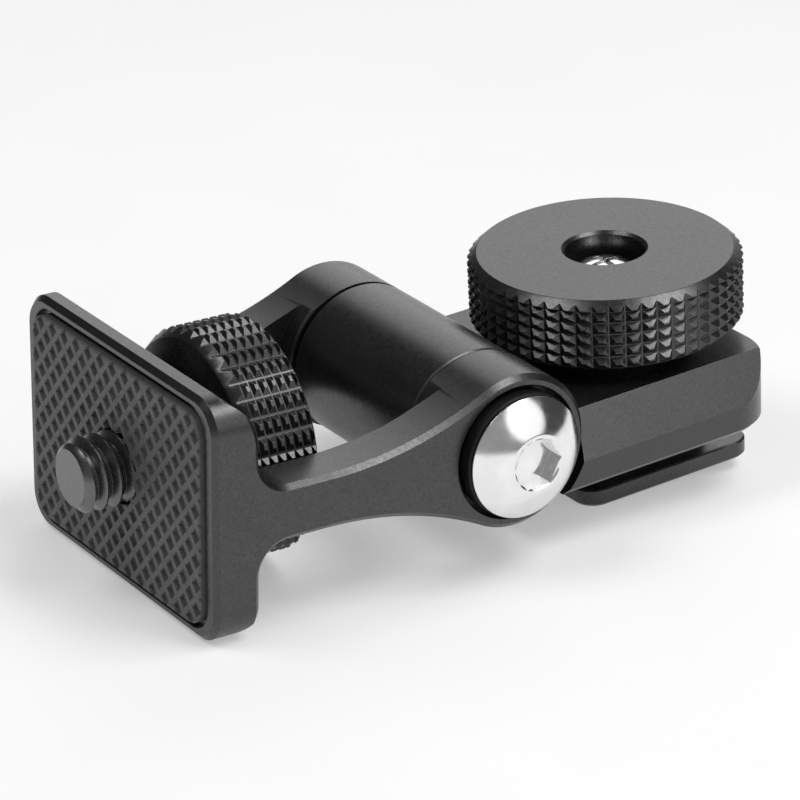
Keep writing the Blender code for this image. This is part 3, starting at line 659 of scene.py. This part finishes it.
def build_clamp_knob(material):
    """The large finger knob: turned top, cut knurl and a deep hole over its lock screw."""
    angles, around = tooth_angles(KNOB_TEETH, 0.30, 0.08)
    along = tooth_rows(KNOB_KNURL_START, KNOB_PITCH, KNOB_ROWS, 0.10, 0.08)
    bottom = [(STUD_BORE_R, KNOB_HUB_FOOT), (KNOB_HUB_R - 0.15, KNOB_HUB_FOOT),
              (KNOB_HUB_R, KNOB_HUB_FOOT + 0.15), (KNOB_HUB_R, 1.4), (11.3, 1.4)]
    top = [(11.1, KNOB_TOP - 0.06), (11.0, KNOB_TOP), (KNOB_HOLE_R + KNOB_LIP, KNOB_TOP),
           (KNOB_HOLE_R, KNOB_TOP - KNOB_LIP), (KNOB_HOLE_R, KNOB_SEAT), (LOCK_HOLE_R, KNOB_SEAT),
           (LOCK_HOLE_R, KNOB_SEAT - 0.9), (STUD_BORE_R, KNOB_SEAT - 0.9)]
    rows = plain_rows(bottom, angles)
    rows += knurled_rows(KNOB_R, KNOB_DEPTH, along, around)
    rows.append(notched_row(KNOB_R, KNOB_NOTCH, KNOB_DEPTH, around, 0.87))
    rows += plain_rows(top, angles)
    bm = revolve(rows, angles, closed=True)
    split_teeth(bm)
    place("knurled_knob", moved(bm, KNOB_X), SWIVEL_MATRIX, "knob", material,
          ["clamp_knob"])


# ---- screws --------------------------------------------------------------------------

THREAD_PITCH = 1.27       # 20 turns to the inch
THREAD_CREST = 3.1
THREAD_ROOT = 2.42
SCREW_TIP = -33.15
SHANK_R = 3.1
SEAT = 15.95              # the underside of a pivot screw's head
HEAD_R = 5.25
HEAD_TOP_R = 2.5
HEAD_RISE = 1.7
PIVOT_SHANK_R = 3.0
SOCKET_WIDTH = 4.0
SPACER_R = 5.35


def threaded_rod(start, turns):
    """A rod with a 60 degree thread along +Z, its ragged ends closed by fans."""
    segments = 96
    steps = [(0.0, 0.0), (0.10, 0.0), (0.44, 1.0), (0.56, 1.0), (0.90, 0.0)]
    lines = [(start + THREAD_PITCH * (turn + offset), high) for turn in range(turns)
             for offset, high in steps]
    bm = bmesh.new()
    grid = []
    for height, high in lines:
        radius = THREAD_ROOT + (THREAD_CREST - THREAD_ROOT) * high
        grid.append([bm.verts.new((radius * math.cos(a), radius * math.sin(a),
                                   height + THREAD_PITCH * a / (2.0 * math.pi)))
                     for a in circle_angles(segments)])
    for k in range(len(lines) - 1):
        for i in range(segments):
            step = 0 if i < segments - 1 else len(steps)
            j = (i + 1) % segments
            if k + 1 + step < len(lines):
                bm.faces.new((grid[k][i], grid[k + step][j], grid[k + 1 + step][j], grid[k + 1][i]))
    middle = start + THREAD_PITCH * turns / 2
    for side in (-1.0, 1.0):
        tip = bm.verts.new((0.0, 0.0, middle + side * THREAD_PITCH * (turns / 2 + 1)))
        edges = [e for e in bm.edges if e.is_boundary
                 and (e.verts[0].co.z + e.verts[1].co.z - 2.0 * middle) * side > 0]
        for edge in edges:
            bm.faces.new((edge.verts[0], edge.verts[1], tip))
    return bm


def build_mount_screw(material):
    """The captive camera screw: rolled thread, relieved neck and a shank in the wheel."""
    rod = threaded_rod(-35.5, 7)
    rod.transform(axis_matrix('X'))
    blank = turned([(0, SCREW_TIP), (2.36, SCREW_TIP), (2.62, SCREW_TIP + 0.17),
                    (THREAD_CREST + 0.02, SCREW_TIP + 0.9), (THREAD_CREST + 0.02, -28.8), (2.7, -28.5),
                    (0, -28.5)], 'X', 128)
    shank = turned([(0, -28.9), (2.4, -28.9), (2.4, -25.4), (SHANK_R - 0.15, -25.4),
                    (SHANK_R, -25.25), (SHANK_R, -18.7), (LOCK_HOLE_R, -18.7),
                    (LOCK_HOLE_R, -22.3), (0, -22.3)], 'X', 128)
    bm = machined(rod, ('INTERSECT', blank), ('UNION', shank))
    place("threaded_screw", bm, YOKE_MATRIX, "wheel", material, ["mount_screw"])


def head_dome(rim, top, foot, rise):
    """The domed profile between a screw head's rim and its flat top."""
    offset = (rim ** 2 - top ** 2 - rise ** 2) / (2 * rise)
    ball = math.hypot(offset, rim)
    start = math.degrees(math.atan2(offset, rim))
    end = math.degrees(math.atan2(offset + rise, top))
    return arc((0.0, foot - offset), ball, start, end, 20)


def hex_socket(top):
    """A hexagon socket with a drilled bottom and a small mouth chamfer."""
    corner = SOCKET_WIDTH / math.sqrt(3.0)
    prism = turned([(0, top - 1.5), (corner, top - 1.5), (corner, top + 1.0), (0, top + 1.0)],
                   'Y', 6)
    drill = turned([(0, top - 1.95), (1.95, top - 1.3), (0, top - 1.3)], 'Y', 96)
    mouth = turned([(0, top - BREAK), (2.12, top - BREAK), (2.44, top + 0.1), (0, top + 0.1)],
                   'Y', 96)
    return machined(prism, ('UNION', drill), ('UNION', mouth))


def build_pivot_screw(label, side, material):
    """A polished button-head screw that holds an ear and sets the joint's damping."""
    foot = SEAT + 0.25
    top = foot + HEAD_RISE
    profile = [(0, 3.85), (PIVOT_SHANK_R - 0.3, 3.85), (PIVOT_SHANK_R, 4.15), (PIVOT_SHANK_R, SEAT),
               (HEAD_R - 0.15, SEAT), (HEAD_R, SEAT + BREAK)]
    profile += head_dome(HEAD_R, HEAD_TOP_R, foot, HEAD_RISE) + [(0, top)]
    bm = machined(turned(profile, 'Y', 192), ('DIFFERENCE', hex_socket(top)))
    if side < 0:
        mirrored_y(bm)
    place("button_head_" + label, bm, SWIVEL_MATRIX, label + "_screw", material,
          ["pivot_screw_" + label])


def build_head_washer(label, side, material):
    """The black spacer under a pivot screw's head."""
    inner, outer = 14.15, SEAT - 0.1
    hole = PIVOT_SHANK_R + 0.08
    ring = [(hole, inner), (SPACER_R - 0.15, inner), (SPACER_R, inner + 0.15),
            (SPACER_R, outer - 0.15), (SPACER_R - 0.15, outer), (hole, outer)]
    bm = turned(ring, 'Y', closed=True)
    if side < 0:
        mirrored_y(bm)
    place("spacer_" + label, bm, SWIVEL_MATRIX, label + "_screw", material,
          ["head_washer_" + label])


def lock_screw(seat, axis):
    """A small pan-head screw with a cross recess."""
    dome = [(2.4 * c, 0.7 + 0.65 * s) for c, s in arc((0.0, 0.0), 1.0, 0, 90, 16)[:-1]]
    points = [(0, -3.6), (1.1, -3.6), (1.25, -3.45), (1.25, 0), (2.3, 0), (2.4, 0.1)]
    points += dome + [(0, 1.35)]
    body = turned([(r, seat + h) for r, h in points], axis, 96)
    slots = []
    for turn in (0.0, math.pi / 2):
        slot = box((-1.3, -0.27, seat + 0.6), (1.3, 0.27, seat + 2.0))
        slot.transform(axis_matrix(axis) @ Matrix.Rotation(turn, 4, 'Z'))
        slots.append(('DIFFERENCE', slot))
    return machined(body, *slots)


# ---- swivel arm and shoe -------------------------------------------------------------

BLOCK_TOP = -0.15
BLOCK_BOTTOM = -6.13
BLOCK_END = 28.45
BLOCK_HALF_Y = 14.0
BLOCK_CORNER_R = 5.2
KEY_HALF = 6.15           # the foot's square key
KEY_GAP = 0.1
FOOT_BOTTOM = -11.29
FOOT_TOP = -9.7
FOOT_X0 = 10.9
FOOT_X1 = 28.7
FOOT_HALF_Y = 9.2
FOOT_CORNER_R = 2.0


def block_outline(inset):
    """The shoe block's plan outline, rounded at its free end."""
    end = BLOCK_END - inset
    half = BLOCK_HALF_Y - inset
    radius = BLOCK_CORNER_R - inset
    points = [(0.0, -half)]
    points += arc((end - radius, -half + radius), radius, -90, 0, 28)
    points += arc((end - radius, half - radius), radius, 0, 90, 28)
    return points + [(0.0, half)]


def slant_wedges():
    """The wedges above the two slanted shoulders of the shoe block."""
    run = Vector((2.8, -3.45))
    high = Vector((11.2, BLOCK_TOP)) - run
    low = Vector((BLOCK_HALF_Y, -3.6)) + run
    outline = [high, low, Vector((low.x, high.y))]
    return with_mirror(lofted([[(x, p.x, p.y) for p in outline] for x in (-2.0, BLOCK_END + 2.0)]))


def build_swivel_arm(material):
    """Pivot barrel and shoe block, machined as one piece."""
    sections = [(BLOCK_BOTTOM, EDGE), (BLOCK_BOTTOM + EDGE, 0.0), (BLOCK_TOP - BREAK, 0.0),
                (BLOCK_TOP, BREAK)]
    block = lofted([[(x, y, z) for x, y in block_outline(inset)] for z, inset in sections])
    clearance = turned([(0, 8.45), (8.1, 8.45), (8.1, 17.0), (0, 17.0)], 'Y', 192)
    half = KEY_HALF + KEY_GAP
    outline = rounded_rectangle(KNOB_X - half, KNOB_X + half, -half, half, 0.9, 8)
    pocket = lofted([[(x, y, z) for x, y in outline] for z in (BLOCK_BOTTOM - 2.0, -2.9)])
    stud_hole = moved(turned([(0, BLOCK_BOTTOM), (STUD_BORE_R, BLOCK_BOTTOM), (STUD_BORE_R, 2.0),
                              (0, 2.0)]), KNOB_X)
    edge = 0.15
    barrel = turned([(0, -BARREL_HALF), (BARREL_R - edge, -BARREL_HALF), (BARREL_R, -BARREL_HALF + edge),
                     (BARREL_R, BARREL_HALF - edge), (BARREL_R - edge, BARREL_HALF),
                     (0, BARREL_HALF)], 'Y', 192)
    bore = turned([(0, -10.0), (5.6, -10.0), (5.6, -8.05), (4.0, -8.05), (4.0, 8.05), (5.6, 8.05),
                   (5.6, 10.0), (0, 10.0)], 'Y')
    bm = machined(block, ('DIFFERENCE', slant_wedges()), ('DIFFERENCE', with_mirror(clearance)),
                  ('DIFFERENCE', pocket), ('DIFFERENCE', stud_hole), ('UNION', barrel),
                  ('DIFFERENCE', bore))
    place("swivel_body", bm, SWIVEL_MATRIX, "arm", material, ["swivel_arm"])


def build_shoe_foot(material):
    """The foot that slides into a shoe, with the square key that stops it turning."""
    layers = []
    for z, inset in ((FOOT_BOTTOM, 0.25), (FOOT_BOTTOM + 0.25, 0.0), (FOOT_TOP - 0.15, 0.0),
                     (FOOT_TOP, 0.15)):
        outline = rounded_rectangle(FOOT_X0 + inset, FOOT_X1 - inset, -FOOT_HALF_Y + inset,
                                    FOOT_HALF_Y - inset, FOOT_CORNER_R - inset)
        layers.append([(x, y, z) for x, y in outline])
    outline = rounded_rectangle(KNOB_X - KEY_HALF, KNOB_X + KEY_HALF, -KEY_HALF, KEY_HALF, 0.8, 8)
    key = lofted([[(x, y, z) for x, y in outline] for z in (-10.5, -4.6)])
    hole_floor = FOOT_BOTTOM + 0.6
    hole = moved(turned([(0, hole_floor), (STUD_BORE_R, hole_floor), (STUD_BORE_R, -2.0), (0, -2.0)],
                        'Z', 96), KNOB_X)
    bm = machined(lofted(layers), ('UNION', key), ('DIFFERENCE', hole))
    place("shoe_plate", bm, SWIVEL_MATRIX, "foot", material, ["shoe_foot"])


# ---- the scene -----------------------------------------------------------------------

def build_pieces():
    """Every piece that stands for a CAD node."""
    aluminium = blasted_aluminium("anodised_body", 0.30)
    knob_black = blasted_aluminium("anodised_knob", 0.29)
    oxide = black_oxide("blackened_steel")
    spacer_black = matt_black("oiled_spacer")
    steel = polished_steel("polished_stainless")
    build_yoke(aluminium)
    build_rubber_pad(rubber("moulded_rubber"))
    build_thumbwheel(knob_black)
    build_clamp_knob(knob_black)
    build_mount_screw(oxide)
    build_swivel_arm(aluminium)
    build_shoe_foot(aluminium)
    for side, label in ((-1, "near"), (1, "far")):
        build_pivot_screw(label, side, steel)
        build_head_washer(label, side, spacer_black)
    place("knob_screw", moved(lock_screw(KNOB_SEAT + 0.1, 'Z'), KNOB_X), SWIVEL_MATRIX, "knob",
          steel, ["knob_lock_screw"])
    place("wheel_screw", lock_screw(WHEEL_SEAT + 0.1, 'X'), YOKE_MATRIX, "wheel",
          steel, ["wheel_lock_screw"])


def dress_inner_nodes(nodes):
    """Better materials on the CAD nodes that stay."""
    spring = plain_metal("spring_steel", (0.34, 0.34, 0.35), (0.48, 0.48, 0.49), 0.24, 0.36)
    bronze = plain_metal("oiled_bronze", (0.060, 0.042, 0.024), (0.105, 0.072, 0.040), 0.35, 0.5)
    dark = plain_metal("phosphated_steel", (0.035, 0.035, 0.036), (0.060, 0.060, 0.061), 0.35, 0.5)
    white = nylon("moulded_nylon")
    looks = {"axle_sleeve": spring, "disc_spring_near": dark, "disc_spring_far": dark,
             "clamp_stud": spring, "ear_bush_near": bronze, "ear_bush_far": bronze,
             "friction_washer_near": white, "friction_washer_far": white, "hub_washer": white,
             "knob_washer": white}
    for name, material in looks.items():
        nodes[name].material_slots[0].material = material


FLOOR_TILT = math.radians(4.0)
UP = Vector((0.0, 0.0, 1.0))
VIEW_BACK = Vector((0.533, 0.846, 0.0))       # level, away from the camera
VIEW_RIGHT = Vector((0.846, -0.533, 0.0))     # level, to the picture's right
LAMP_DISTANCE = 0.5
WORLD_BASE = 0.06
# each lobe: direction, degrees off it where the light starts to fade and where it ends, radiance
WORLD_LOBES = [(UP * -1.0, 30.0, 80.0, 0.8),
               (VIEW_BACK * 0.88 + VIEW_RIGHT * 0.12 + UP * 0.43, 14.0, 34.0, 1.30),
               (VIEW_BACK * -0.9 + UP * 0.30, 20.0, 60.0, 0.25),
               (VIEW_RIGHT * 0.72 - VIEW_BACK * 0.45 + UP * 0.50, 21.0, 30.0, 1.1)]


def open_from_below(look):
    """Lets the camera see through the floor from underneath."""
    side = look.tree.nodes.new("ShaderNodeNewGeometry").outputs["Backfacing"]
    clear = look.tree.nodes.new("ShaderNodeBsdfTransparent").outputs["BSDF"]
    mix = look.tree.nodes.new("ShaderNodeMixShader")
    look.link(side, mix.inputs["Fac"])
    look.link(look.shader.outputs["BSDF"], mix.inputs[1])
    look.link(clear, mix.inputs[2])
    look.link(mix.outputs["Shader"], look.tree.nodes["Material Output"].inputs["Surface"])


def build_floor():
    """A plain pale floor that the bracket rests on, on its plate's and its foot's lower edges."""
    bm = bmesh.new()
    bmesh.ops.create_grid(bm, x_segments=8, y_segments=8, size=3.0)
    mesh = bpy.data.meshes.new("floor")
    bm.to_mesh(mesh)
    bm.free()
    floor = bpy.data.objects.new("floor", mesh)
    bpy.context.scene.collection.objects.link(floor)
    floor.location = (-0.0089, 0.0, -0.00002)
    floor.rotation_euler = (0.0, FLOOR_TILT, 0.0)
    look = Look("pale_paper")
    look.link(look.ramp(look.noise(40.0), (0.66, 0.66, 0.66), (0.68, 0.68, 0.68)),
              look.shader.inputs["Base Color"])
    look.set(Roughness=0.9, Specular_IOR_Level=0.1, Emission_Color=(1.0, 1.0, 1.0, 1.0),
             Emission_Strength=0.36)
    open_from_below(look)
    mesh.materials.append(look.material)


def softbox(name, direction, size, depth, radiance):
    """A soft light in that direction from the pivot and facing it, its depth along the view."""
    light = bpy.data.lights.new(name, 'AREA')
    light.shape = 'RECTANGLE'
    light.size = size
    light.size_y = depth
    light.energy = radiance * math.pi * size * depth
    lamp = bpy.data.objects.new(name, light)
    bpy.context.scene.collection.objects.link(lamp)
    towards = Vector(direction).normalized()
    across = towards.cross(VIEW_BACK).normalized()
    columns = Matrix((across, towards.cross(across), towards)).transposed()
    lamp.location = PIVOT + towards * LAMP_DISTANCE
    lamp.rotation_euler = columns.to_euler()


def world_lobe(tree, direction, near, far, radiance):
    """A soft patch of light on the surroundings, from near to far degrees off its middle."""
    geometry = tree.nodes.new("ShaderNodeNewGeometry")
    dot = tree.nodes.new("ShaderNodeVectorMath")
    dot.operation = 'DOT_PRODUCT'
    dot.inputs[1].default_value = -Vector(direction).normalized()
    tree.links.new(geometry.outputs["Incoming"], dot.inputs[0])
    fade = tree.nodes.new("ShaderNodeMapRange")
    fade.interpolation_type = 'SMOOTHSTEP'
    fade.inputs["From Min"].default_value = math.cos(math.radians(far))
    fade.inputs["From Max"].default_value = math.cos(math.radians(near))
    fade.inputs["To Max"].default_value = radiance
    tree.links.new(dot.outputs["Value"], fade.inputs["Value"])
    return fade.outputs["Result"]


def build_world():
    """A dark room with a pale backdrop behind the bracket and weaker light from the other sides."""
    world = bpy.data.worlds.new("studio")
    bpy.context.scene.world = world
    world.use_nodes = True
    tree = world.node_tree
    total = None
    for direction, near, far, radiance in WORLD_LOBES:
        lobe = world_lobe(tree, direction, near, far, radiance)
        if total is None:
            total = lobe
            continue
        add = tree.nodes.new("ShaderNodeMath")
        tree.links.new(total, add.inputs[0])
        tree.links.new(lobe, add.inputs[1])
        total = add.outputs["Value"]
    base = tree.nodes.new("ShaderNodeMath")
    base.inputs[1].default_value = WORLD_BASE
    tree.links.new(total, base.inputs[0])
    background = tree.nodes["Background"]
    background.inputs["Color"].default_value = (1.0, 1.0, 1.0, 1.0)
    tree.links.new(base.outputs["Value"], background.inputs["Strength"])


CAMERA_PLACE = (-0.181533, -0.254217, 0.154771)
CAMERA_FORWARD = Vector((0.4805, 0.7632, -0.4320)).normalized()
CAMERA_ROLL = -0.0523
CAMERA_LENS = 178.57


def build_camera():
    """The camera, at the photograph's viewing angle."""
    data = bpy.data.cameras.new("camera")
    data.lens = CAMERA_LENS
    data.sensor_width = 36.0
    camera = bpy.data.objects.new("camera", data)
    bpy.context.scene.collection.objects.link(camera)
    camera.location = CAMERA_PLACE
    right = CAMERA_FORWARD.cross(UP).normalized()
    up = right.cross(CAMERA_FORWARD)
    rolled = right * math.cos(CAMERA_ROLL) + up * math.sin(CAMERA_ROLL)
    upright = up * math.cos(CAMERA_ROLL) - right * math.sin(CAMERA_ROLL)
    columns = Matrix((rolled, upright, -CAMERA_FORWARD)).transposed()
    camera.rotation_euler = columns.to_euler()
    data.clip_start = 0.01
    bpy.context.scene.camera = camera


build_pieces()
dress_inner_nodes(frame["nodes"])
build_floor()
build_world()
softbox("right_box", VIEW_RIGHT * 0.50 - VIEW_BACK * 0.115 + UP * 0.86, 0.20, 0.30, 6.4)
softbox("left_box", VIEW_RIGHT * -0.42 - VIEW_BACK * 0.08 + UP * 0.90, 0.20, 0.22, 5.0)
build_camera()
bpy.context.scene.view_settings.view_transform = 'Standard'
